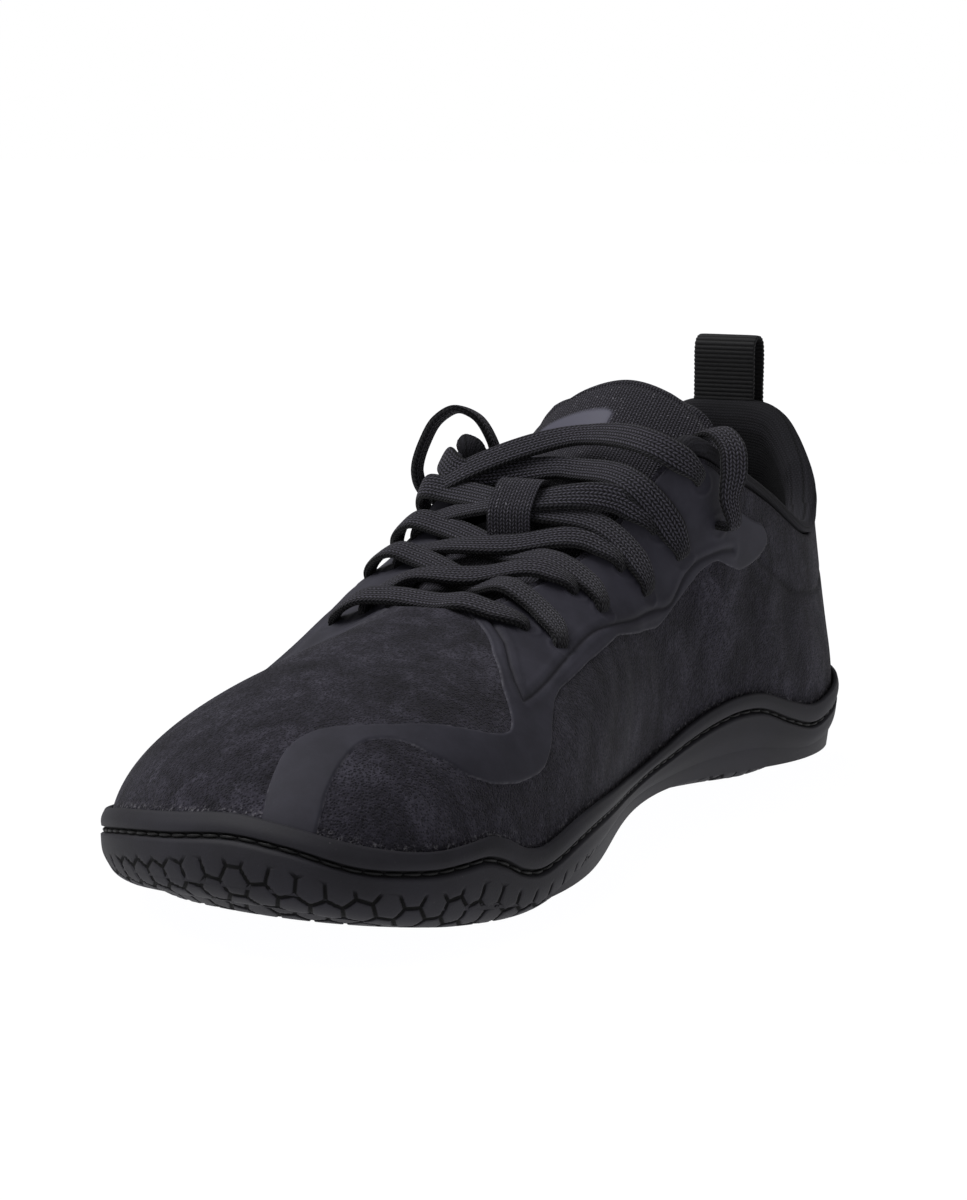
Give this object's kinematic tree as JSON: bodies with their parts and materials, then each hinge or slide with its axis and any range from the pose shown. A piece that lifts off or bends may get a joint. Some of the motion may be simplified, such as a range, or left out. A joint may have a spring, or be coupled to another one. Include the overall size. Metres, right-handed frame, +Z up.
{
  "type": "low lace-up sneaker",
  "caption": "Low lace-up trainer for the right foot, with a wide toe, a thin wrapped rubber cupsole, crossed flat laces, a knit tongue and a heel pull loop.",
  "frame": {"origin": "on the floor under the middle of the shoe's outline box, free lace ends left out", "axes": "+X to the toe, +Y to the big-toe side, +Z up"},
  "size_m": [0.2816, 0.1066, 0.115],
  "materials": {
    "rubber": "matt moulded rubber with a stitched groove",
    "insole": "woven sock liner",
    "nubuck": "brushed nubuck, mottled nap",
    "film": "smooth satin film bonded to the upper",
    "lining": "fine ribbed knit",
    "knit": "heathered knit",
    "lace": "flat woven lace with pale flecks",
    "webbing": "ribbed grosgrain webbing"
  },
  "bodies": {
    "root": {"outsole": "rubber", "insole": "insole", "upper": "nubuck", "film_inner": "film", "film_outer": "film", "collar": "lining", "tongue": "knit", "laces_1": "lace", "tongue_keeper": "knit", "pull_loop": "webbing", "lace_end_inner": "lace", "lace_end_outer": "lace"}
  },
  "joints": []
}
